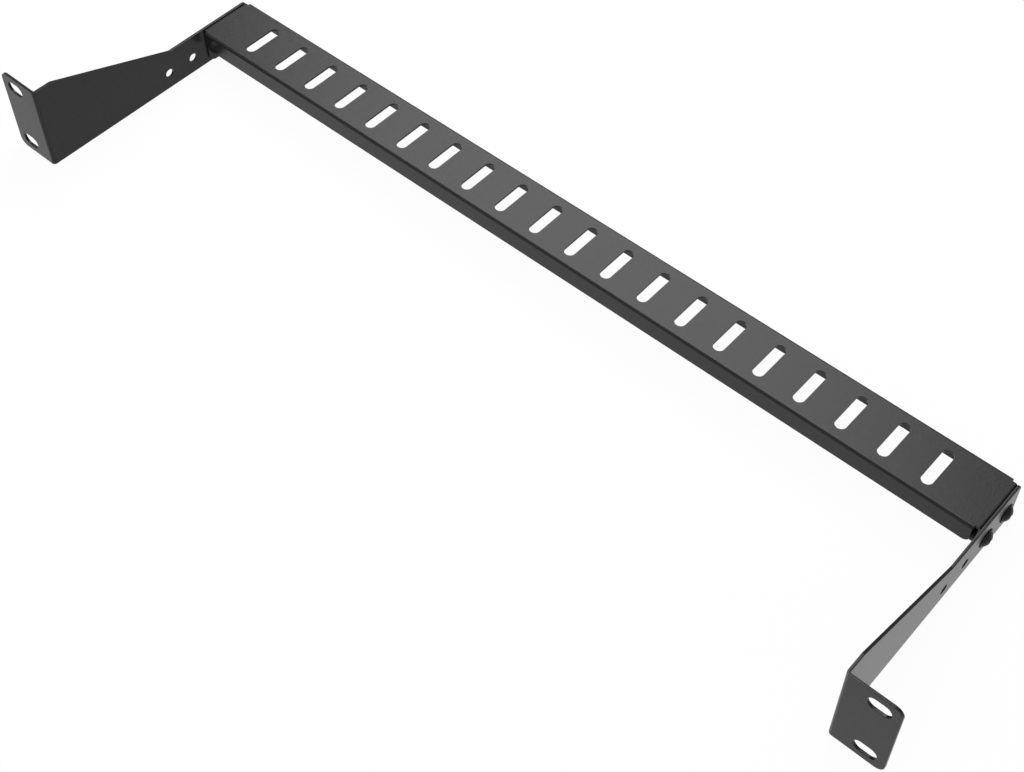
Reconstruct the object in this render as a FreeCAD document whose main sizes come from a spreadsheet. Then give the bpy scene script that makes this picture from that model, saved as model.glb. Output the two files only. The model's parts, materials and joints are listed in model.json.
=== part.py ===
"""Cable lacing bar for a 19 inch rack.

Two folded ear brackets reach back from the rack's rails, and a slotted, folded bar is screwed
between their arms. The row of holes in each arm lets the bar be set at other depths.

The frame: +X runs along the bar, +Y back into the rack, +Z up. The origin is the middle of the
four rack slots, on the ears' rear faces, which lie on the rails.
"""
import FreeCAD, Part
import math
import os
import Sketcher

# Driving dimensions in millimetres. Depths count back from the ears' front faces, and heights up
# from the arms' lower edges.
SIZES = {
    "ear_span": 482.6,
    "ear_height": 44.4,
    "ear_corner": 4.0,
    "arm_span": 437.8,
    "arm_depth": 123.9,
    "arm_nose": 10.1,
    "arm_slope_end": 75.1,
    "arm_tail": 20.2,
    "bracket_gauge": 1.3,
    "bracket_bend": 0.4,
    "rack_hole_span": 465.1,
    "rack_hole_rise": 31.75,
    "rack_slot_length": 10.0,
    "rack_slot_width": 6.4,
    "step_hole": 4.5,
    "step_first": 72.6,
    "step_pitch": 15.0,
    "step_count": 4,
    "step_height": 8.2,
    "bar_depth": 30.4,
    "bar_gauge": 1.0,
    "bar_bend": 0.4,
    "flange_length": 430.0,
    "flange_height": 9.8,
    "flange_corner": 3.0,
    "tab_width": 27.0,
    "tab_height": 17.0,
    "tab_corner": 3.0,
    "tie_slot_length": 19.8,
    "tie_slot_width": 5.2,
    "tie_slot_pitch": 20.0,
    "tie_slot_count": 20,
    "shank_width": 3.9,
    "shank_length": 6.0,
    "shank_lead": 0.4,
    "collar_width": 8.8,
    "collar_height": 0.7,
    "head_width": 6.6,
    "head_height": 2.3,
    "crown_width": 4.4,
    "crown_height": 1.0,
    "recess_span": 3.8,
    "recess_wing": 0.9,
    "recess_depth": 1.2,
    "nut_width": 7.9,
    "nut_height": 3.0,
    "nut_seat": 5.4,
    "nut_seat_length": 0.9,
    "nut_thread": 4.0,
    "nut_lead": 0.3,
}

# Which end of a sketch line, or which point of an arc, a rule holds
START = 1
END = 2
CENTRE = 3

NEAR = 0.001

doc = FreeCAD.newDocument("lacing_bar")
sheet = doc.addObject("Spreadsheet::Sheet", "dims")
for row, (alias, value) in enumerate(SIZES.items(), 1):
    sheet.set(f"A{row}", alias)
    sheet.set(f"B{row}", str(value))
    sheet.setAlias(f"B{row}", alias)
doc.recompute()


class Length:
    """A number with the sheet formula that it comes from, so that one sum gives both."""

    def __init__(self, number, formula):
        self.number = number
        self.formula = formula

    def joined(self, sign, other, number):
        return Length(number, f"({self.formula} {sign} {other.formula})")

    def __add__(self, other):
        return self.joined("+", other, self.number + other.number)

    def __sub__(self, other):
        return self.joined("-", other, self.number - other.number)

    def __mul__(self, other):
        return self.joined("*", other, self.number * other.number)

    def __truediv__(self, other):
        return self.joined("/", other, self.number / other.number)

    def __neg__(self):
        return Length(-self.number, f"-{self.formula}")


def plain(number):
    """A bare number, such as a half or a count, in a sum of lengths."""
    return Length(number, str(number))


def size(alias):
    """A driving dimension, read from the sheet."""
    return Length(sheet.get(alias), f"dims.{alias}")


def half(alias):
    return size(alias) / plain(2)


def bind(thing, path, length):
    """Ties a property of an object to the sheet."""
    thing.setExpression(path, length.formula)


# Places that several pieces share
ZERO = plain(0)
bracket_gauge = size("bracket_gauge")
bar_gauge = size("bar_gauge")
arm_outside = half("arm_span")
arm_inside = arm_outside - bracket_gauge
tab_inside = arm_inside - bar_gauge
mid_height = half("ear_height")
tail_level = size("arm_tail") - mid_height
step_level = size("step_height") - mid_height
step_pitch = size("step_pitch")
first_step = size("step_first") - bracket_gauge
rear_screw = first_step + step_pitch * (size("step_count") - plain(1))
front_screw = rear_screw - step_pitch
bar_middle = rear_screw - half("step_pitch")


# Drawing

def new_body(label):
    body = doc.addObject("PartDesign::Body", label)
    body.Label = label
    return body


def datum(body, role):
    """One of the body's own origin planes or axes."""
    return [item for item in body.Origin.OriginFeatures if item.Role == role][0]


def new_sketch(body, name, plane):
    sketch = body.newObject("Sketcher::SketchObject", name)
    sketch.AttachmentSupport = (datum(body, plane), [""])
    sketch.MapMode = "FlatFace"
    return sketch


def rule(sketch, length, kind, *targets):
    """Adds a measured rule to a sketch and ties it to the sheet."""
    index = sketch.addConstraint(Sketcher.Constraint(kind, *targets, length.number))
    sketch.setExpression(f"Constraints[{index}]", length.formula)


def hold(sketch, geometry, point, x, y):
    """Keeps a point of a sketch at a place measured from the sketch's origin."""
    rule(sketch, x, "DistanceX", -1, START, geometry, point)
    rule(sketch, y, "DistanceY", -1, START, geometry, point)


def ring(x, y, width):
    centre = FreeCAD.Vector(x.number, y.number, 0)
    return Part.Circle(centre, FreeCAD.Vector(0, 0, 1), width.number / 2)


def outline(body, name, plane, corners):
    """A closed outline with straight sides."""
    sketch = new_sketch(body, name, plane)
    points = [FreeCAD.Vector(x.number, y.number, 0) for x, y in corners]
    for before, point in zip(points, points[1:] + points[:1]):
        sketch.addGeometry(Part.LineSegment(before, point), False)
    for side, (x, y) in enumerate(corners):
        previous = (side or len(corners)) - 1
        sketch.addConstraint(Sketcher.Constraint("Coincident", previous, END, side, START))
        hold(sketch, side, START, x, y)
    return sketch


def hole(body, name, plane, x, y, width):
    sketch = new_sketch(body, name, plane)
    sketch.addGeometry(ring(x, y, width), False)
    hold(sketch, 0, CENTRE, x, y)
    rule(sketch, width, "Diameter", 0)
    return sketch


def slot(body, name, plane, x, y, length, width, upright):
    """Two round ends joined by straight sides, along the sketch's x or, upright, along its y."""
    sketch = new_sketch(body, name, plane)
    reach = (length - width) / plain(2)
    along_x = ZERO if upright else reach
    along_y = reach if upright else ZERO
    centres = [(x - along_x, y - along_y), (x + along_x, y + along_y)]
    turn = math.pi if upright else math.pi / 2
    for (centre_x, centre_y), start in zip(centres, (turn, turn - math.pi)):
        arc = Part.ArcOfCircle(ring(centre_x, centre_y, width), start, start + math.pi)
        sketch.addGeometry(arc, False)
    first, last = sketch.Geometry
    sketch.addGeometry(Part.LineSegment(first.EndPoint, last.StartPoint), False)
    sketch.addGeometry(Part.LineSegment(last.EndPoint, first.StartPoint), False)
    for before, after in ((0, 2), (2, 1), (1, 3), (3, 0)):
        sketch.addConstraint(Sketcher.Constraint("Tangent", before, END, after, START))
    sketch.addConstraint(Sketcher.Constraint("Equal", 0, 1))
    for end, (centre_x, centre_y) in enumerate(centres):
        hold(sketch, end, CENTRE, centre_x, centre_y)
    rule(sketch, width / plain(2), "Radius", 0)
    return sketch


# Making

def pad(body, name, sketch, length):
    """Thickens an outline evenly to both sides of its plane."""
    feature = body.newObject("PartDesign::Pad", name)
    feature.Profile = sketch
    feature.SideType = "Symmetric"
    bind(feature, "Length", length)


def turn_round(body, name, section):
    """Spins a half section round the body's upright axis."""
    feature = body.newObject("PartDesign::Revolution", name)
    feature.Profile = section
    feature.ReferenceAxis = (datum(body, "Z_Axis"), [""])
    feature.Angle = 360


def cut(body, name, sketch, depth=None):
    """Cuts an outline out of the body, through to both sides unless a depth is given."""
    doc.recompute()
    volume = body.Shape.Volume
    feature = body.newObject("PartDesign::Pocket", name)
    feature.Profile = sketch
    if depth:
        bind(feature, "Length", depth)
    else:
        feature.Type = "ThroughAll"
        feature.SideType = "Symmetric"
    doc.recompute()
    if body.Shape.Volume > volume - NEAR:
        raise RuntimeError(f"{name} cuts nothing")
    return feature


def row_of(body, name, feature, axis, pitch, count):
    """Repeats a feature along one of the body's axes."""
    pattern = body.newObject("PartDesign::LinearPattern", name)
    pattern.Originals = [feature]
    pattern.Direction = (datum(body, axis), [""])
    pattern.Mode = "Spacing"
    bind(pattern, "Offset", pitch)
    bind(pattern, "Occurrences", count)
    body.Tip = pattern


def same(number, length):
    return abs(abs(number) - abs(length.number)) < NEAR


def runs_along(axis, **place):
    """A test for straight edges along an axis at a place, or at its mirror images."""
    def test(edge):
        if edge.Curve.TypeId != "Part::GeomLine":
            return False
        if abs(getattr(edge.Curve.Direction, axis)) < 1 - NEAR:
            return False
        return all(same(getattr(edge.CenterOfMass, key), length) for key, length in place.items())
    return test


def round_edges(body, name, radius, test):
    """Rounds every edge that passes a test."""
    doc.recompute()
    base = body.Tip
    feature = body.newObject("PartDesign::Fillet", name)
    feature.Base = (base, [f"Edge{n}" for n, edge in enumerate(base.Shape.Edges, 1) if test(edge)])
    bind(feature, "Radius", radius)


# Brackets

def make_right_bracket(label):
    """An ear folded out from an arm, whose top edge slopes down to a low tail with a row of holes."""
    body = new_body(label)
    ear_end = half("ear_span")
    arm_end = size("arm_depth") - bracket_gauge
    fold = outline(body, "bracket_fold", "XY_Plane", [
        (ear_end, -bracket_gauge),
        (ear_end, ZERO),
        (arm_outside, ZERO),
        (arm_outside, arm_end),
        (arm_inside, arm_end),
        (arm_inside, -bracket_gauge),
    ])
    pad(body, "bracket_blank", fold, size("ear_height"))
    bend = size("bracket_bend")
    round_edges(body, "bracket_bend_inside", bend, runs_along("z", x=arm_outside, y=ZERO))
    round_edges(body, "bracket_bend_outside", bend + bracket_gauge,
                runs_along("z", x=arm_inside, y=bracket_gauge))
    round_edges(body, "ear_corners", size("ear_corner"), runs_along("y", x=ear_end, z=mid_height))

    past_end = arm_end + bracket_gauge
    slope = outline(body, "arm_slope", "YZ_Plane", [
        (size("arm_nose") - bracket_gauge, mid_height),
        (size("arm_slope_end") - bracket_gauge, tail_level),
        (past_end, tail_level),
        (past_end, mid_height),
    ])
    cut(body, "arm_slope_cut", slope)

    rack_slot = slot(body, "rack_slot", "XZ_Plane", half("rack_hole_span"), half("rack_hole_rise"),
                     size("rack_slot_length"), size("rack_slot_width"), upright=False)
    upper = cut(body, "rack_slot_cut", rack_slot)
    pair = body.newObject("PartDesign::Mirrored", "rack_slot_pair")
    pair.Originals = [upper]
    pair.MirrorPlane = (datum(body, "XY_Plane"), [""])
    body.Tip = pair

    step = hole(body, "step_hole", "YZ_Plane", first_step, step_level, size("step_hole"))
    first = cut(body, "step_hole_cut", step)
    row_of(body, "step_holes", first, "Y_Axis", step_pitch, size("step_count"))
    return body


def make_left_bracket(label, right_bracket):
    """The other hand of the same folded sheet."""
    mirrored = doc.addObject("Part::Mirroring", label)
    mirrored.Label = label
    mirrored.Source = right_bracket
    mirrored.Normal = FreeCAD.Vector(1, 0, 0)
    return mirrored


# Bar

def folded_down(half_width, foot):
    """Corners of a section of the bar's sheet with both ends folded down, before the bends are rounded."""
    inner = half_width - bar_gauge
    return [
        (half_width, foot),
        (half_width, ZERO),
        (-half_width, ZERO),
        (-half_width, foot),
        (-inner, foot),
        (-inner, -bar_gauge),
        (inner, -bar_gauge),
        (inner, foot),
    ]


def make_bar(label):
    """A slotted plate with a flange folded down along each side and a tab folded down at each end.

    The flanges and the tabs stop short of each other, which leaves a relief at each corner.
    """
    body = new_body(label)
    inside = size("bar_bend")
    outside = inside + bar_gauge

    edge = half("bar_depth")
    lip = -size("flange_height")
    channel = outline(body, "channel_section", "YZ_Plane", folded_down(edge, lip))
    pad(body, "channel", channel, size("flange_length"))
    round_edges(body, "flange_bends_outside", outside, runs_along("x", y=edge, z=ZERO))
    round_edges(body, "flange_bends_inside", inside, runs_along("x", y=edge - bar_gauge, z=bar_gauge))
    round_edges(body, "flange_corners", size("flange_corner"),
                runs_along("y", x=half("flange_length"), z=lip))

    foot = -size("tab_height")
    tabs = outline(body, "tab_section", "XZ_Plane", folded_down(arm_inside, foot))
    pad(body, "tabs", tabs, size("tab_width"))
    round_edges(body, "tab_bends_outside", outside, runs_along("y", x=arm_inside, z=ZERO))
    round_edges(body, "tab_bends_inside", inside, runs_along("y", x=tab_inside, z=bar_gauge))
    round_edges(body, "tab_corners", size("tab_corner"), runs_along("x", y=half("tab_width"), z=foot))

    pitch = size("tie_slot_pitch")
    count = size("tie_slot_count")
    first_x = pitch * (count - plain(1)) / plain(-2)
    tie_slot = slot(body, "tie_slot", "XY_Plane", first_x, ZERO,
                    size("tie_slot_length"), size("tie_slot_width"), upright=True)
    row_of(body, "tie_slots", cut(body, "tie_slot_cut", tie_slot), "X_Axis", pitch, count)

    seat_level = size("step_height") - size("arm_tail")
    seat = hole(body, "nut_seat", "YZ_Plane", -half("step_pitch"), seat_level, size("nut_seat"))
    row_of(body, "nut_seats", cut(body, "nut_seat_cut", seat), "Y_Axis", step_pitch, plain(2))
    bind(body, "Placement.Base.y", bar_middle)
    bind(body, "Placement.Base.z", tail_level)
    return body


# Fasteners

def lay_across(body, side, facing, x, y):
    """Lays a turned piece along X, facing left or right, at the height of the arm holes."""
    spin = FreeCAD.Rotation(FreeCAD.Vector(0, 1, 0), 90 * facing)
    body.Placement = FreeCAD.Placement(FreeCAD.Vector(), spin)
    bind(body, "Placement.Base.x", x * plain(side))
    bind(body, "Placement.Base.y", y)
    bind(body, "Placement.Base.z", step_level)


def make_screw(label, side, depth):
    """A pan-head screw with a collar under its head and a cross recess. Its thread is left plain."""
    body = new_body(label)
    crown = half("crown_width")
    head = half("head_width")
    top = size("head_height")
    collar = half("collar_width")
    collar_top = size("collar_height")
    shank = half("shank_width")
    tip = -size("shank_length")
    lead = size("shank_lead")
    section = outline(body, "screw_section", "XZ_Plane", [
        (ZERO, top),
        (crown, top),
        (head, top - size("crown_height")),
        (head, collar_top),
        (collar, collar_top),
        (collar, ZERO),
        (shank, ZERO),
        (shank, tip + lead),
        (shank - lead, tip),
        (ZERO, tip),
    ])
    turn_round(body, "screw_turning", section)

    span = half("recess_span")
    wing = half("recess_wing")
    corners = []
    arm = [(span, -wing), (span, wing), (wing, wing)]
    for _ in range(4):
        corners += arm
        arm = [(-y, x) for x, y in arm]
    cross = outline(body, "recess_cross", "XY_Plane", corners)
    bind(cross, "AttachmentOffset.Base.z", top)
    cut(body, "recess", cross, size("recess_depth"))
    lay_across(body, side, side, arm_outside, depth)
    return body


def make_nut(label, side, depth):
    """A round clinch nut: its seat fills the hole in the tab, its collar lies on the tab's inner face."""
    body = new_body(label)
    bore = half("nut_thread")
    rim = half("nut_width")
    seat = half("nut_seat")
    seat_end = -size("nut_seat_length")
    top = size("nut_height")
    lead = size("nut_lead")
    section = outline(body, "nut_section", "XZ_Plane", [
        (bore, seat_end),
        (seat, seat_end),
        (seat, ZERO),
        (rim, ZERO),
        (rim, top),
        (bore + lead, top),
        (bore, top - lead),
    ])
    turn_round(body, "nut_turning", section)
    lay_across(body, side, -side, tab_inside, depth)
    return body


right_bracket = make_right_bracket("right_bracket")
pieces = [right_bracket, make_left_bracket("left_bracket", right_bracket), make_bar("lacing_bar")]
for side_name, side in (("left", -1), ("right", 1)):
    for row_name, depth in (("front", front_screw), ("rear", rear_screw)):
        pieces.append(make_screw(f"{side_name}_{row_name}_screw", side, depth))
        pieces.append(make_nut(f"{side_name}_{row_name}_clinch_nut", side, depth))
doc.recompute()

failed = [item.Label for item in doc.Objects if {"Invalid", "Error"} & set(item.State)]
for piece in pieces:
    shape = piece.Shape
    if shape.isNull() or not shape.isValid() or len(shape.Solids) != 1:
        failed.append(piece.Label)
if failed:
    raise RuntimeError(f"failed: {failed}")

os.makedirs("parts", exist_ok=True)
for piece in pieces:
    piece.Shape.exportStep(f"parts/{piece.Label}.step")
    print(f"{piece.Label}: {piece.Shape.Volume:.1f} cubic millimetres")
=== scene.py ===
# %% [markdown]
# A cable lacing bar for a 19 inch rack: a slotted bar, folded from sheet steel, is screwed between
# two folded ear brackets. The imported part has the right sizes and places, and this lesson gives it
# its looks: coated edges, real bends, screws, a powder coat, light and a camera.
# Everything is in metres, in the part's own frame: +X along the bar, +Y back into the rack, +Z up.

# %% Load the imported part
import json
import math

import bmesh
import bpy
from mathutils import Matrix, Vector


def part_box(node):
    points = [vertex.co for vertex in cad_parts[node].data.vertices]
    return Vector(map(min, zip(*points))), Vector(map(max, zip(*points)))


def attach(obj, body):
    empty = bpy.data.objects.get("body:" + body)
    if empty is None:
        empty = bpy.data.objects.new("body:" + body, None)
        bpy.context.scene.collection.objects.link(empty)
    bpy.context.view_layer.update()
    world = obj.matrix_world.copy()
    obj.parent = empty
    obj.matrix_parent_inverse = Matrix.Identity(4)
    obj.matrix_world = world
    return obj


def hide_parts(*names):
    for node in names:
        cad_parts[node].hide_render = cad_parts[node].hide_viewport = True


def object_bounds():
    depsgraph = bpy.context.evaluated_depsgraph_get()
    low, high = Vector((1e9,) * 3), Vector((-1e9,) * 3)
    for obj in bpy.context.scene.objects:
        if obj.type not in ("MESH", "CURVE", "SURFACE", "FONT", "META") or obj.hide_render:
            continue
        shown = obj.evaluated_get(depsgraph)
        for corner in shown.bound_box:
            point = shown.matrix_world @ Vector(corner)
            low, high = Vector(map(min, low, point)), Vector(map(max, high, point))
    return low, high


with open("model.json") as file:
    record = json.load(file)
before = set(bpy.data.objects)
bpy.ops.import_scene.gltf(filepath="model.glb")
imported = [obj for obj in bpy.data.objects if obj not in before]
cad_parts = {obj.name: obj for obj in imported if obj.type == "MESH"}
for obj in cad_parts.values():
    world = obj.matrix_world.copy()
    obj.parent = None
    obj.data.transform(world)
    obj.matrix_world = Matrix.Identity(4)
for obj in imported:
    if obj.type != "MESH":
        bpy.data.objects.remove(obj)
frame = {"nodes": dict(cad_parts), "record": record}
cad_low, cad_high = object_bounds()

MM = 0.001
print("solids in the frame:", sorted(frame["nodes"]))
print("box in millimetres:", [round(side / MM, 2) for side in cad_high - cad_low])

# %% [markdown]
# The camera stands where the photograph's camera stood: in front of the bar, to its right and well
# above it. A camera could be pointed with a constraint, but here its three axes are worked out from
# two angles, which is plain to read and easy to check. The lens looks past the middle of the
# picture, so a small shift moves the picture instead of turning the camera.

# %% Camera
PICTURE_WIDTH, PICTURE_HEIGHT = 1024, 772
SENSOR = 36.0
NEAREST_SEEN = 10 * MM
view_azimuth = math.radians(41.160)
view_elevation = math.radians(50.536)
view_distance = 699.18 * MM
view_target = Vector((21.25, 60.70, -12.32)) * MM
lens_in_pixels = 1664.76
lens_axis = (527.32, 334.64)

right = Vector((math.cos(view_azimuth), math.sin(view_azimuth), 0))
back = Vector((
    math.sin(view_azimuth) * math.cos(view_elevation),
    -math.cos(view_azimuth) * math.cos(view_elevation),
    math.sin(view_elevation),
))
up = back.cross(right)
eye = view_target + back * view_distance


def add_object(name, data):
    """A new object in the scene."""
    item = bpy.data.objects.new(name, data)
    bpy.context.scene.collection.objects.link(item)
    return item


camera_data = bpy.data.cameras.new("camera")
camera_data.sensor_width = SENSOR
camera_data.lens = SENSOR * lens_in_pixels / PICTURE_WIDTH
camera_data.shift_x = (PICTURE_WIDTH / 2 - lens_axis[0]) / PICTURE_WIDTH
camera_data.shift_y = (lens_axis[1] - PICTURE_HEIGHT / 2) / PICTURE_WIDTH
camera_data.clip_start = NEAREST_SEEN
camera = add_object("camera", camera_data)
camera.matrix_world = Matrix.Translation(eye) @ Matrix((right, up, back)).transposed().to_4x4()
bpy.context.scene.camera = camera
print("camera at", [round(value / MM, 1) for value in eye], "lens", round(camera_data.lens, 2))

# %% [markdown]
# The bar and the brackets are sheet steel. Each is cut flat, with its slots and holes, and folded
# afterwards. A box with bevels would look alike from far off, but a flat outline that is filled,
# thickened and then folded is how the real piece is made, and it keeps every bend smooth.
# An outline is written as its few corners, each with a radius, and one function puts in the arcs.

# %% Outlines with rounded corners
ARC_STEPS = 12
SAME_PLACE = 1e-7
CORNER_SIGNS = ((-1, -1), (1, -1), (1, 1), (-1, 1))


def rounded(corners):
    """Points round a closed outline whose corners are (x, y, radius)."""
    points = []
    for before, corner, after in zip(corners[-1:] + corners[:-1], corners, corners[1:] + corners[:1]):
        place = Vector(corner[:2])
        radius = corner[2]
        backward = (Vector(before[:2]) - place).normalized()
        onward = (Vector(after[:2]) - place).normalized()
        half_angle = backward.angle(onward) / 2
        centre = place + (backward + onward).normalized() * radius / math.sin(half_angle)
        start = place + backward * radius / math.tan(half_angle) - centre
        turn = math.copysign(math.pi - 2 * half_angle, -backward.cross(onward))
        for step in range(ARC_STEPS + 1):
            points.append(centre + Matrix.Rotation(turn * step / ARC_STEPS, 2) @ start)
    return [point for previous, point in zip(points[-1:] + points, points)
            if (point - previous).length > SAME_PLACE]


def rectangle(middle_x, middle_y, reach_x, reach_y, radius):
    """Corners of a slot, or of a round hole where both reaches are the radius."""
    return [(middle_x + x * reach_x, middle_y + y * reach_y, radius) for x, y in CORNER_SIGNS]


print("a round hole has", len(rounded(rectangle(0, 0, MM, MM, MM))), "points")

# %% [markdown]
# A press punches the outline and the holes. A filled curve does the same work in Blender: its first
# loop is the outline, and each other loop is a hole. Cutting holes with booleans would do as well, but
# the curve's own bevel also gives every cut edge the soft radius that a powder coat leaves on it.
# A curve has no points inside its flat faces to bend, so it becomes a mesh before it is folded.

# %% Flat sheets
COAT_EDGE = 0.08 * MM
EDGE_STEPS = 2


def final_mesh(item):
    """The mesh that an object's curve or modifiers make. The object itself goes."""
    depsgraph = bpy.context.evaluated_depsgraph_get()
    mesh = bpy.data.meshes.new_from_object(item.evaluated_get(depsgraph))
    bpy.data.objects.remove(item)
    return mesh


def flat_sheet(name, loops, gauge):
    """A flat sheet with holes, with its middle plane at height 0."""
    curve = bpy.data.curves.new(name, "CURVE")
    curve.dimensions = "2D"
    curve.fill_mode = "BOTH"
    curve.extrude = gauge / 2 - COAT_EDGE
    curve.bevel_depth = COAT_EDGE
    curve.bevel_resolution = EDGE_STEPS
    curve.offset = -COAT_EDGE
    for corners in loops:
        points = rounded(corners)
        spline = curve.splines.new("POLY")
        spline.points.add(len(points) - 1)
        for point, place in zip(spline.points, points):
            point.co = (*place, 0, 1)
        spline.use_cyclic_u = True
    mesh = final_mesh(add_object(name, curve))
    sheet = bmesh.new()
    sheet.from_mesh(mesh)
    bpy.data.meshes.remove(mesh)
    bmesh.ops.remove_doubles(sheet, verts=sheet.verts, dist=SAME_PLACE)
    bmesh.ops.recalc_face_normals(sheet, faces=sheet.faces)
    print(name, "cut flat:", len(loops) - 1, "holes,", len(sheet.faces), "faces")
    return sheet


print("soft edge of the coat in millimetres:", COAT_EDGE / MM)

# %% [markdown]
# A press brake bends the sheet round an inner radius. A Simple Deform modifier can bend a mesh too,
# but its arc is hard to set to an exact radius and place. Here a bend is a rule for where a point of
# the flat sheet goes: it stays flat up to the bend, then runs round the arc, then straight down. The
# mesh needs edges across the bend first, or it would fold like paper, so the bend scores the sheet.

# %% Bends
BEND_STEPS = 10
RIGHT_ANGLE = math.pi / 2


class Bend:
    """A square bend down that starts at a distance from the sheet's middle."""

    def __init__(self, start, inner_radius, gauge):
        self.start = start
        self.outer = inner_radius + gauge
        self.gauge = gauge
        self.middle = inner_radius + gauge / 2
        self.end = start + self.middle * RIGHT_ANGLE

    def flat_place(self, drop):
        """Where, on the flat sheet, a point lies that is to end that far below the top face."""
        return self.end + drop - self.outer

    def folded(self, along, height):
        """How far out a point of the flat sheet ends, and how far below the top face."""
        depth = self.gauge / 2 - height
        radius = self.outer - depth
        turn = (along - self.start) / self.middle
        if turn <= 0:
            return along, depth
        if turn < RIGHT_ANGLE:
            return self.start + radius * math.sin(turn), self.outer - radius * math.cos(turn)
        return self.start + radius, self.outer + along - self.end

    def score(self, sheet, axis, sides=(1,)):
        """Cuts edges across the sheet where it is to bend."""
        normal = Vector(axis)
        for side in sides:
            for step in range(BEND_STEPS + 1):
                place = self.start + (self.end - self.start) * step / BEND_STEPS
                parts = [*sheet.verts, *sheet.edges, *sheet.faces]
                bmesh.ops.bisect_plane(
                    sheet,
                    geom=parts,
                    dist=SAME_PLACE,
                    plane_co=normal * place * side,
                    plane_no=normal,
                )


print("strips round a bend:", BEND_STEPS)

# %% [markdown]
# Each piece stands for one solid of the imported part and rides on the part's only body. A folded
# sheet takes its normals with it through the fold. Blender can work normals out from the faces, but
# a filled curve has long thin faces, which would leave streaks of shade. So a point on a flat face
# gets the normal of that face, and the bend turns it, and flats shade as flats and bends as bends.

# %% Pieces
BODY = "root"
NEARLY_FLAT = 0.999
NORMAL_STEP = 1e-5


def mesh_of(name, shape):
    """Turns a bmesh into a mesh and frees it."""
    mesh = bpy.data.meshes.new(name)
    shape.to_mesh(mesh)
    shape.free()
    return mesh


def add_piece(name, shape, node):
    """Turns a bmesh into a piece that stands for a solid of the frame."""
    mesh = mesh_of(name, shape)
    mesh.shade_smooth()
    piece = add_object(name, mesh)
    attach(piece, BODY)
    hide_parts(node)
    print(name, "has", len(mesh.polygons), "faces")
    return piece


def flat_normal(vertex):
    """Straight away from the sheet on its flat faces, and outward round its cut edges."""
    if any(abs(face.normal.z) > NEARLY_FLAT for face in vertex.link_faces):
        return Vector((0, 0, math.copysign(1, vertex.co.z)))
    return vertex.normal


def add_sheet_piece(name, sheet, place, node):
    """Folds a scored sheet and its normals. A fold that mirrors the sheet gets its faces turned over."""
    sheet.normal_update()
    sheet.verts.index_update()
    tips = [place(*(vertex.co + flat_normal(vertex) * NORMAL_STEP)) for vertex in sheet.verts]
    for vertex in sheet.verts:
        vertex.co = place(*vertex.co)
    normals = [(tip - vertex.co).normalized() for vertex, tip in zip(sheet.verts, tips)]
    sheet.normal_update()
    agreeing = sum(
        face.calc_area() * face.normal.dot(normals[face.verts[0].index])
        for face in sheet.faces
    )
    if agreeing < 0:
        bmesh.ops.reverse_faces(sheet, faces=sheet.faces)
    piece = add_piece(name, sheet, node)
    piece.data.normals_split_custom_set_from_vertices(normals)
    return piece


print("pieces ride on", BODY)

# %% [markdown]
# The bar is one sheet. A flange is folded down along its front and back, and a tab at each end,
# which meets the bracket's arm. Flanges and tabs stop short of each other, so each corner has a
# small open relief. Its length, depth and top face could be typed in again, but they are read from
# its solid, so that the two agree. The tabs reach a little lower here than in the solid.

# %% Sizes of the lacing bar
bar_gauge = 1.0 * MM
bar_bend = 0.32 * MM
flange_end = 215.0 * MM
flange_drop = 9.8 * MM
flange_corner = 3.0 * MM
tab_reach = 13.5 * MM
tab_corner = 4.0 * MM
tab_drop = 20.0 * MM
relief_corner = 0.3 * MM
tie_slot_reach = (2.6 * MM, 9.9 * MM)
nut_hole = 2.7 * MM

bar_low, bar_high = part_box("lacing_bar")
bar_y = (bar_low.y + bar_high.y) / 2
bar_top = bar_high.z
flange_bend = Bend((bar_high.y - bar_low.y) / 2 - bar_bend - bar_gauge, bar_bend, bar_gauge)
tab_bend = Bend(bar_high.x - bar_bend - bar_gauge, bar_bend, bar_gauge)
print("bar in millimetres:", [round(side / MM, 2) for side in bar_high - bar_low])

# %% [markdown]
# Cut flat, the bar is a long cross. Its four quarters are alike, so one quarter is written down and
# mirrored. The tie slots are read from the record, where each slot has its own box, and the holes
# for the clinch nuts lie where the nuts' solids are, measured round the bend.

# %% Lacing bar, cut flat
def middle_of(node):
    """The middle of a solid's box."""
    low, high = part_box(node)
    return (low + high) / 2


def bar_outline():
    lip = flange_bend.flat_place(flange_drop)
    foot = tab_bend.flat_place(tab_drop)
    quarter = [
        (flange_end, lip, flange_corner),
        (flange_end, tab_reach, relief_corner),
        (foot, tab_reach, tab_corner),
    ]
    outline = []
    for x_side, y_side in ((1, 1), (1, -1), (-1, -1), (-1, 1)):
        part = [(x * x_side, y * y_side, radius) for x, y, radius in quarter]
        outline += part if x_side == y_side else part[::-1]
    return outline


def bar_holes():
    for opening in frame["record"]["physics"]["openings"]:
        if opening["name"].startswith("tie_slot"):
            low, high = opening["box_m"]
            across, along = ((low[axis] + high[axis]) / 2 for axis in (0, 1))
            yield rectangle(across, along - bar_y, *tie_slot_reach, tie_slot_reach[0])
    for node in frame["nodes"]:
        if node.endswith("clinch_nut"):
            nut = middle_of(node)
            across = math.copysign(tab_bend.flat_place(bar_top - nut.z), nut.x)
            yield rectangle(across, nut.y - bar_y, nut_hole, nut_hole, nut_hole)


bar_sheet = flat_sheet("lacing_bar_sheet", [bar_outline(), *bar_holes()], bar_gauge)

# %% [markdown]
# The flanges bend across the bar and the tabs along it. A flange and a tab never share a corner, so
# each point follows the two rules by itself, and the lower of the two answers is its height.

# %% Lacing bar, folded
def bar_place(along, across, height):
    """Where a point of the flat bar ends: only a flange or a tab falls below the plate."""
    out_y, drop_y = flange_bend.folded(abs(across), height)
    out_x, drop_x = tab_bend.folded(abs(along), height)
    return Vector((
        math.copysign(out_x, along),
        bar_y + math.copysign(out_y, across),
        bar_top - max(drop_x, drop_y),
    ))


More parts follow.
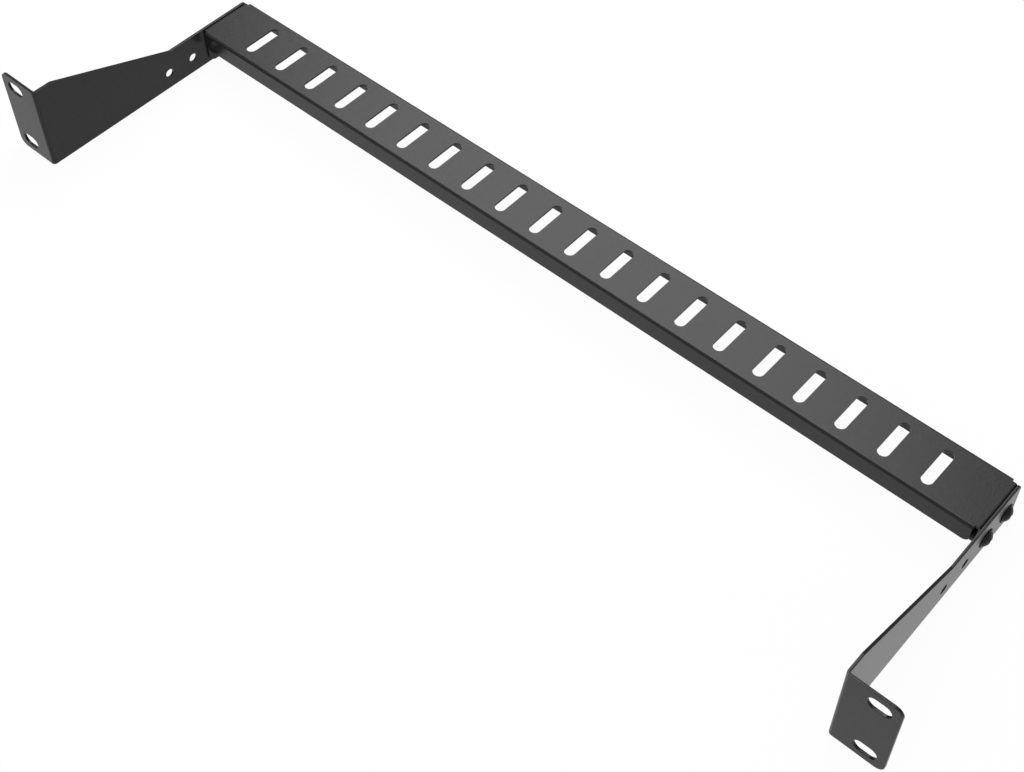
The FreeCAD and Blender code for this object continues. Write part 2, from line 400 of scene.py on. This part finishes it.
flange_bend.score(bar_sheet, (0, 1, 0), sides=(1, -1))
tab_bend.score(bar_sheet, (1, 0, 0), sides=(1, -1))
bar_piece = add_sheet_piece("lacing_bar_sheet", bar_sheet, bar_place, "lacing_bar")

# %% [markdown]
# Each bracket is one sheet too: a rack ear, folded square from an arm whose top edge slopes down to
# a low tail with rounded ends. The slots in the ear keep the spacing of a rack's holes, which the
# record states with the mount, so they are read from there.

# %% Sizes of the brackets
bracket_gauge = 1.3 * MM
bracket_bend = 0.4 * MM
nose_depth = 10.1 * MM
slope_depth = 75.1 * MM
tail_level = -2.0 * MM
tail_growth = 0.5 * MM
tail_corner = 2.0 * MM
ear_corner = 4.0 * MM
cut_corner = 0.5 * MM
step_holes = 4
step_hole = 2.25 * MM

bracket_low, bracket_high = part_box("right_bracket")
ear_bend = Bend(0, bracket_bend, bracket_gauge)
rack_slots = next(mount for mount in frame["record"]["mounts"] if mount["name"] == "rack_slots")["dims"]
print("bracket in millimetres:", [round(side / MM, 2) for side in bracket_high - bracket_low])

# %% [markdown]
# The flat bracket lies with its bend at 0, the ear on one side and the arm on the other. A row of
# holes along the arm lets the bar sit at other depths, one step for each hole. The screws' solids
# give the last hole and the step.

# %% Outline and holes of a bracket
def arm_place(y):
    """Where, on the flat bracket, a point of the arm lies."""
    return ear_bend.outer - (y - bracket_low.y)


def bracket_outline():
    ear_end = ear_bend.flat_place(bracket_high.x - bracket_low.x)
    arm_end = arm_place(bracket_high.y + tail_growth)
    nose = arm_place(bracket_low.y + nose_depth)
    slope_end = arm_place(bracket_low.y + slope_depth)
    return [
        (ear_end, bracket_low.z, ear_corner),
        (ear_end, bracket_high.z, ear_corner),
        (nose, bracket_high.z, cut_corner),
        (slope_end, tail_level, cut_corner),
        (arm_end, tail_level, tail_corner),
        (arm_end, bracket_low.z, tail_corner),
    ]


def bracket_holes():
    slot_place = ear_bend.flat_place(rack_slots["spacing_x_mm"] * MM / 2 - bracket_low.x)
    slot_width = rack_slots["hole_r_mm"] * MM
    slot_reach = rack_slots["slot_length_mm"] * MM / 2
    rise = rack_slots["spacing_y_mm"] * MM / 2
    for height in (rise, -rise):
        yield rectangle(slot_place, height, slot_reach, slot_width, slot_width)
    rear, front = middle_of("right_rear_screw"), middle_of("right_front_screw")
    for step in range(step_holes):
        y = rear.y - step * (rear.y - front.y)
        yield rectangle(arm_place(y), rear.z, step_hole, step_hole, step_hole)


bracket_loops = [bracket_outline(), *bracket_holes()]
print("holes in a bracket:", len(bracket_loops) - 1)

# %% [markdown]
# The same bend rule folds the bracket, with the arm as the flat part and the ear as the part that
# goes down. The two brackets are mirror images. A mirror modifier would join them in one piece, and
# they are two on the bench, so one function makes each from its own sheet.

# %% Brackets, cut and folded
def make_bracket(side_name, side):
    def place(along, up_arm, height):
        out, drop = ear_bend.folded(along, height)
        return Vector((side * (bracket_low.x + drop), bracket_low.y + ear_bend.outer - out, up_arm))

    name = f"{side_name}_bracket_sheet"
    sheet = flat_sheet(name, bracket_loops, bracket_gauge)
    ear_bend.score(sheet, (1, 0, 0))
    return add_sheet_piece(name, sheet, place, f"{side_name}_bracket")


bracket_pieces = [make_bracket("right", 1), make_bracket("left", -1)]

# %% [markdown]
# Screws and nuts are turned pieces. A Screw modifier can sweep a profile round an axis, but it would
# wind the head into a helix along with the thread. So a turned piece is a stack of rings here, with
# a skin over them. A thread is a ring whose radius rises and falls once per turn, one pitch further
# on at each turn, and the same function skins heads, threads and nuts.

# %% Turned pieces
RING_STEPS = 48
THREAD_PITCH = 0.7 * MM
THREAD_DEPTH = 0.38 * MM
THREAD_RINGS = 8


def thread_rings(radius, start, end):
    """Rings of a thread whose crests have that radius and whose grooves lie inside it."""
    count = round(abs(end - start) / THREAD_PITCH * THREAD_RINGS)
    for step in range(count + 1):
        height = start + (end - start) * step / count
        ring = []
        for turn in range(RING_STEPS):
            phase = (height / THREAD_PITCH - turn / RING_STEPS) % 1
            ring.append(radius - THREAD_DEPTH * abs(2 * phase - 1))
        yield ring, height


def plain_rings(profile):
    """Round rings from a list of (radius, height)."""
    for radius, height in profile:
        yield [radius] * RING_STEPS, height


def turned(rings, closed):
    """Skins a stack of rings, and joins the last to the first or caps both ends."""
    shape = bmesh.new()
    loops = []
    for radii, height in rings:
        loop = []
        for turn, radius in enumerate(radii):
            angle = 2 * math.pi * turn / RING_STEPS
            loop.append(shape.verts.new((radius * math.cos(angle), radius * math.sin(angle), height)))
        loops.append(loop)
    lower_loops = loops[1:] + loops[:1] if closed else loops[1:]
    for upper, lower in zip(loops, lower_loops):
        for turn in range(RING_STEPS):
            after = (turn + 1) % RING_STEPS
            shape.faces.new((upper[turn], lower[turn], lower[after], upper[after]))
    if not closed:
        shape.faces.new(loops[0])
        shape.faces.new(loops[-1])
    return shape


print("rings in a turn of thread:", THREAD_RINGS)

# %% [markdown]
# The screws have domed heads on a thin washer face of their own, and a cross to drive them. The
# dome is a cap of a ball, which its width and its rise settle. The rings run from the middle of the
# dome over the washer face and down the thread.

# %% Screw blank
head_radius = 3.85 * MM
head_top = 2.3 * MM
washer_radius = 4.4 * MM
washer_top = 0.4 * MM
shank_radius = 1.95 * MM
shank_end = -6.0 * MM
screw_soft = 0.1 * MM
CROWN_STEPS = 8


def screw_rings():
    rise = head_top - washer_top
    ball = (head_radius ** 2 + rise ** 2) / (2 * rise)
    widest = math.asin(head_radius / ball)
    crown = []
    for step in range(1, CROWN_STEPS + 1):
        angle = widest * step / CROWN_STEPS
        crown.append((ball * math.sin(angle), head_top - ball * (1 - math.cos(angle))))
    washer = [
        (washer_radius - 2 * screw_soft, washer_top),
        (washer_radius - screw_soft / 2, washer_top - screw_soft / 2),
        (washer_radius, washer_top - 2 * screw_soft),
        (washer_radius, screw_soft),
        (washer_radius - screw_soft, 0),
        (shank_radius, 0),
    ]
    yield from plain_rings(crown + washer)
    yield from thread_rings(shank_radius, -screw_soft, shank_end + 3 * screw_soft)
    yield from plain_rings([(shank_radius - THREAD_DEPTH - screw_soft, shank_end)])


screw_blank = turned(screw_rings(), closed=False)
print("faces of a screw before its recess:", len(screw_blank.faces))

# %% [markdown]
# A punch sinks the cross into the head. The recess could be modelled into the rings face by face,
# but a boolean with a tapered cross is the same act as the punch's, and leaves crisp edges.

# %% Cross recess
recess_reach = 2.3 * MM
recess_wing = 0.6 * MM
recess_depth = 1.8 * MM
recess_taper = 0.45
punch_above = 0.3 * MM
punch_flare = 1.1


def cross_punch():
    """A tapered cross that stands in the head."""
    shape = bmesh.new()
    corners = [(recess_reach, -recess_wing), (recess_reach, recess_wing), (recess_wing, recess_wing)]
    levels = []
    for height, scale in ((head_top + punch_above, punch_flare), (head_top - recess_depth, recess_taper)):
        level = []
        for quarter in range(4):
            spin = Matrix.Rotation(RIGHT_ANGLE * quarter, 2)
            for corner in corners:
                place = spin @ Vector(corner)
                level.append(shape.verts.new((*(place * scale), height)))
        levels.append(level)
    count = len(levels[0])
    for step in range(count):
        after = (step + 1) % count
        shape.faces.new((levels[0][step], levels[1][step], levels[1][after], levels[0][after]))
    for level in levels:
        shape.faces.new(level)
    return shape


def loose_object(name, shape):
    bmesh.ops.recalc_face_normals(shape, faces=shape.faces)
    return add_object(name, mesh_of(name, shape))


def cut_recess(shape):
    blank = loose_object("screw_blank", shape)
    punch = loose_object("cross_punch", cross_punch())
    cut = blank.modifiers.new("recess", "BOOLEAN")
    cut.operation = "DIFFERENCE"
    cut.solver = "EXACT"
    cut.object = punch
    bpy.context.view_layer.update()
    mesh = final_mesh(blank)
    bpy.data.objects.remove(punch)
    return mesh


screw_mesh = cut_recess(screw_blank)
print("faces of a screw with its recess:", len(screw_mesh.polygons))

# %% [markdown]
# A screw lies along the bar with its washer face on the arm's outer side. No two screws stop at the
# same angle, so each is spun a little further than the one before. A turned piece is smooth round
# its axis and has sharp rims, and the angle between faces tells the two apart.

# %% Placing the screws
SHARP_ANGLE = math.radians(38)
FIRST_SPIN = 0.48
SPIN_STEP = 0.05


def add_turned_piece(name, mesh, matrix, node):
    shape = bmesh.new()
    shape.from_mesh(mesh)
    bmesh.ops.transform(shape, matrix=matrix, verts=shape.verts)
    bmesh.ops.recalc_face_normals(shape, faces=shape.faces)
    piece = add_piece(name, shape, node)
    piece.data.set_sharp_from_angle(angle=SHARP_ANGLE)
    return piece


def add_turned_row(ending, mesh, seat, outward, first_spin=0, spin_step=0):
    """A piece for each solid whose name ends so, seated that far from the middle of the bar."""
    pieces = []
    nodes = sorted(node for node in frame["nodes"] if node.endswith(ending))
    for count, node in enumerate(nodes):
        middle = middle_of(node)
        side = math.copysign(1, middle.x)
        place = Matrix.Translation((side * seat, middle.y, middle.z))
        lying = Matrix.Rotation(RIGHT_ANGLE * side * outward, 4, "Y")
        spin = Matrix.Rotation(spin_step * count + first_spin, 4, "Z")
        pieces.append(add_turned_piece(f"{node}_turned", mesh, place @ lying @ spin, node))
    return pieces


arm_outside = bracket_low.x + bracket_gauge
screw_pieces = add_turned_row("_screw", screw_mesh, arm_outside, 1, FIRST_SPIN, SPIN_STEP)

# %% [markdown]
# The bar's sheet is too thin to hold a thread, so a clinch nut is pressed into each hole of the
# tabs. It is a thick ring with a narrow seat that fills the hole. A plain ring would do from above,
# but its end can be seen from below, so the bore has its thread. The rings run over the outside of
# the nut, round the seat and back up the bore, and the last joins the first.

# %% Clinch nuts
nut_radius = 3.95 * MM
nut_top = 3.0 * MM
nut_seat_end = -0.9 * MM
nut_bore = 2.0 * MM
nut_soft = 0.2 * MM


def nut_rings():
    groove = nut_bore + THREAD_DEPTH
    yield from plain_rings([
        (groove, nut_top),
        (nut_radius - nut_soft, nut_top),
        (nut_radius, nut_top - nut_soft),
        (nut_radius, nut_soft),
        (nut_radius - nut_soft, 0),
        (nut_hole, 0),
        (nut_hole, nut_seat_end),
        (groove, nut_seat_end),
    ])
    yield from thread_rings(groove, nut_seat_end + nut_soft, nut_top - nut_soft)


nut_mesh = mesh_of("nut", turned(nut_rings(), closed=True))
tab_inside = bar_high.x - bar_gauge
nut_pieces = add_turned_row("_clinch_nut", nut_mesh, tab_inside, -1)

# %% [markdown]
# A finish is a tree of nodes, and its sums read best as sums. Nodes could be placed one by one, which
# hides a short formula in many lines. This small class wraps a node's output instead, so that an
# expression on values adds the Math nodes by itself.

# %% Values in sums
class Value:
    """A node's output that can be used in a sum."""

    def __init__(self, finish, socket):
        self.finish = finish
        self.socket = socket

    def sum(self, operation, first, second):
        return self.finish.node("ShaderNodeMath", {"operation": operation}, {0: first, 1: second})

    def __add__(self, other):
        return self.sum("ADD", self, other)

    def __sub__(self, other):
        return self.sum("SUBTRACT", self, other)

    def __rsub__(self, other):
        return self.sum("SUBTRACT", other, self)

    def __mul__(self, other):
        return self.sum("MULTIPLY", self, other)

    def __abs__(self):
        return self.sum("ABSOLUTE", self, 0)

    def __lt__(self, other):
        return self.sum("LESS_THAN", self, other)

    __radd__ = __add__
    __rmul__ = __mul__


print("operators on values: + - * abs <")

# %% [markdown]
# Every other node comes from one method: its settings first, then the values or links of its
# sockets. The methods after it are the few things that these finishes need: a grain of a real size,
# a grey between two greys, a bump and the shader at the end.

# %% Finishes
def grey(level):
    return (level, level, level, 1)


class Finish:
    """A material made of nodes."""

    def __init__(self, name):
        self.material = bpy.data.materials.new(name)
        self.material.use_nodes = True
        self.tree = self.material.node_tree
        self.tree.nodes.clear()

    def node(self, kind, settings=None, inputs=None, output=0):
        made = self.tree.nodes.new(kind)
        for name, value in (settings or {}).items():
            setattr(made, name, value)
        for name, value in (inputs or {}).items():
            if isinstance(value, Value):
                self.tree.links.new(value.socket, made.inputs[name])
            else:
                made.inputs[name].default_value = value
        return Value(self, made.outputs[output]) if made.outputs else None

    def places(self):
        return self.node("ShaderNodeTexCoord", output="Object")

    def noise(self, size, detail):
        """A grain of a real size, the same from every side."""
        inputs = {"Vector": self.places(), "Scale": 1 / size, "Detail": detail}
        return self.node("ShaderNodeTexNoise", None, inputs, "Fac")

    def shade(self, dark, light, share):
        """A grey between two greys."""
        inputs = {0: share, 6: grey(dark), 7: grey(light)}
        return self.node("ShaderNodeMix", {"data_type": "RGBA"}, inputs, 2)

    def bump(self, height, distance, strength):
        inputs = {"Height": height, "Distance": distance, "Strength": strength}
        return self.node("ShaderNodeBump", None, inputs, "Normal")

    def surface(self, **inputs):
        """Ends the material in one shader, whose sockets are named by words joined with _."""
        named = {name.replace("_", " "): value for name, value in inputs.items()}
        shader = self.node("ShaderNodeBsdfPrincipled", None, named)
        self.node("ShaderNodeOutputMaterial", None, {"Surface": shader})

    def cover(self, pieces):
        """Gives pieces this finish alone."""
        for piece in pieces:
            piece.data.materials.clear()
            piece.data.materials.append(self.material)
        print(self.material.name, "on", [piece.name for piece in pieces])


print("half grey as a colour:", grey(0.5))

# %% [markdown]
# Powder coat is sprayed dry and baked, so it flows into a skin with a fine pebbled grain and a soft
# orange peel under it. It is black, but its satin skin throws light back, most of all at a shallow
# angle. An even dark grey would look like plastic, so two sizes of noise make the height, and the
# same grain shifts the colour and the roughness by a little.

# %% Powder coat
coat_grain = 0.55 * MM
coat_grain_detail = 3.0
coat_grain_rise = 0.7
coat_grain_tint = 0.6
coat_peel = 2.6 * MM
coat_peel_detail = 1.0
coat_peel_rise = 0.6
coat_peel_tint = 0.4
coat_relief = 0.05 * MM
coat_relief_strength = 0.6
coat_greys = (0.0075, 0.0165)
coat_roughness = 0.24
coat_grain_roughness = 0.12
coat_gloss = 1.325

coat = Finish("black_powder_coat")
grain = coat.noise(coat_grain, coat_grain_detail)
peel = coat.noise(coat_peel, coat_peel_detail)
coat_height = grain * coat_grain_rise + peel * coat_peel_rise
coat.surface(
    Base_Color=coat.shade(*coat_greys, grain * coat_grain_tint + peel * coat_peel_tint),
    Roughness=coat_roughness + coat_grain_roughness * grain,
    Normal=coat.bump(coat_height, coat_relief, coat_relief_strength),
    IOR=coat_gloss,
)
coat.cover([bar_piece, *bracket_pieces])

# %% [markdown]
# Screws and nuts have a dark plating, thin and slightly cloudy. It could share the powder coat, but
# the plating follows the metal closely, so its grain is finer and its gloss more even. The washer
# face under a head is duller than the dome, and its colour is darker with painted shade, which
# stands for the shadow in the thin gap under the head. A mask finds it by its distance from the
# middle of the bar.

# %% Dark plating
plate_cloud = 1.8 * MM
plate_cloud_detail = 3.0
plate_grain = 0.16 * MM
plate_grain_detail = 2.0
plate_relief = 0.02 * MM
plate_relief_strength = 0.4
plate_metal = 0.2
plate_cloud_roughness = 0.2
# How much the washer face's colour is darkened: painted shade for the gap under the head.
washer_painted_shade = 0.6
washer_duller = 0.4
washer_margin = 0.03 * MM


def plated(name, greys, roughness, gloss, washer_end):
    plate = Finish(name)
    cloud = plate.noise(plate_cloud, plate_cloud_detail)
    grain = plate.noise(plate_grain, plate_grain_detail)
    along_bar = plate.node("ShaderNodeSeparateXYZ", None, {0: plate.places()})
    washer = abs(along_bar) < washer_end
    plate.surface(
        # The washer face's colour is darkened here: painted shade for the shadow under the head.
        Base_Color=plate.shade(*greys, cloud - washer_painted_shade * washer),
        Metallic=plate_metal,
        Roughness=roughness + plate_cloud_roughness * cloud + washer_duller * washer,
        Normal=plate.bump(grain, plate_relief, plate_relief_strength),
        IOR=gloss,
    )
    return plate


washer_end = arm_outside + washer_top - washer_margin
screw_plate = plated("black_screw_plate", (0.004, 0.013), roughness=0.30, gloss=1.28, washer_end=washer_end)
nut_plate = plated("black_zinc_plate", (0.006, 0.015), roughness=0.36, gloss=1.30, washer_end=0)
screw_plate.cover(screw_pieces)
nut_plate.cover(nut_pieces)

# %% [markdown]
# The part lies on a plain white floor. More light would make a grey floor white, but it would wash
# out the part too. So the floor has its own white for the camera and for reflections, and a share of
# plain floor is kept, which holds the part's shadow. From below the floor is clear, so that the
# underside can be looked at.

# %% Floor
FLOOR_REACH = 12.0
FLOOR_GREY = 0.8
FLOOR_OWN_WHITE = 0.96
RAYS_THAT_SEE_WHITE = ("Camera", "Glossy", "Transmission")

floor_mesh = bpy.data.meshes.new("floor")
floor_corners = [(x * FLOOR_REACH, y * FLOOR_REACH, cad_low.z) for x, y in CORNER_SIGNS]
floor_mesh.from_pydata(floor_corners, [], [(0, 1, 2, 3)])
floor = add_object("floor", floor_mesh)

paper = Finish("white_floor")
rays = [paper.node("ShaderNodeLightPath", output=f"Is {kind} Ray") for kind in RAYS_THAT_SEE_WHITE]
seen = (rays[0] + rays[1] + rays[2]) * FLOOR_OWN_WHITE
lit = paper.node("ShaderNodeBsdfDiffuse", None, {"Color": grey(FLOOR_GREY)})
white = paper.node("ShaderNodeEmission", None, {"Color": grey(1.0), "Strength": 1.0})
mixed = paper.node("ShaderNodeMixShader", None, {0: seen, 1: lit, 2: white})
below = paper.node("ShaderNodeNewGeometry", output="Backfacing")
clear = paper.node("ShaderNodeBsdfTransparent")
one_sided = paper.node("ShaderNodeMixShader", None, {0: below, 1: mixed, 2: clear})
paper.node("ShaderNodeOutputMaterial", None, {"Surface": one_sided})
paper.cover([floor])

# %% [markdown]
# A black satin part is seen by what it mirrors. A lit sky alone would leave it flat, and one lamp
# would leave most sides dark, so large softboxes stand all round it in a dim white studio. The plate
# mirrors the one at the back left to the camera. The others give the front, the sides, the back and
# the top edges their sheen.

# %% Studio light
STUDIO_STRENGTH = 0.26

world = bpy.data.worlds.new("studio")
world.use_nodes = True
world.node_tree.nodes["Background"].inputs["Color"].default_value = grey(1.0)
world.node_tree.nodes["Background"].inputs["Strength"].default_value = STUDIO_STRENGTH
bpy.context.scene.world = world


def add_softbox(name, place, width, height, power):
    """An oblong lamp that faces the part."""
    lamp = bpy.data.lights.new(name, "AREA")
    lamp.shape = "RECTANGLE"
    lamp.size = width
    lamp.size_y = height
    lamp.energy = power
    box = add_object(name, lamp)
    box.location = place
    aim = Vector((0, bar_y / 2, 0)) - box.location
    box.rotation_mode = "QUATERNION"
    box.rotation_quaternion = aim.to_track_quat("-Z", "Y")
    return box


softboxes = [
    add_softbox("back_left", (-0.61, 0.90, 1.47), 1.08, 1.4, 24.9),
    add_softbox("front_left", (-1.06, -1.10, 1.24), 1.6, 2.0, 6.5),
    add_softbox("front_right", (1.30, -1.20, 0.90), 1.5, 1.2, 5.0),
    add_softbox("front", (0.10, -1.55, 1.00), 1.5, 0.7, 2.6),
    add_softbox("left_side", (-1.70, 0.10, 0.75), 1.4, 0.6, 2.4),
    add_softbox("right_side", (1.70, 0.10, 0.75), 1.4, 0.6, 2.4),
    add_softbox("back_right", (0.60, 1.15, 1.34), 0.7, 0.5, 2.6),
    add_softbox("overhead", (-0.2, 0.35, 1.78), 0.7, 0.7, 4.0),
]
print("lamps:", [lamp.name for lamp in softboxes])

# %% [markdown]
# Last comes the plain view of colours.

# %% View of colours
bpy.context.scene.view_settings.view_transform = "Standard"
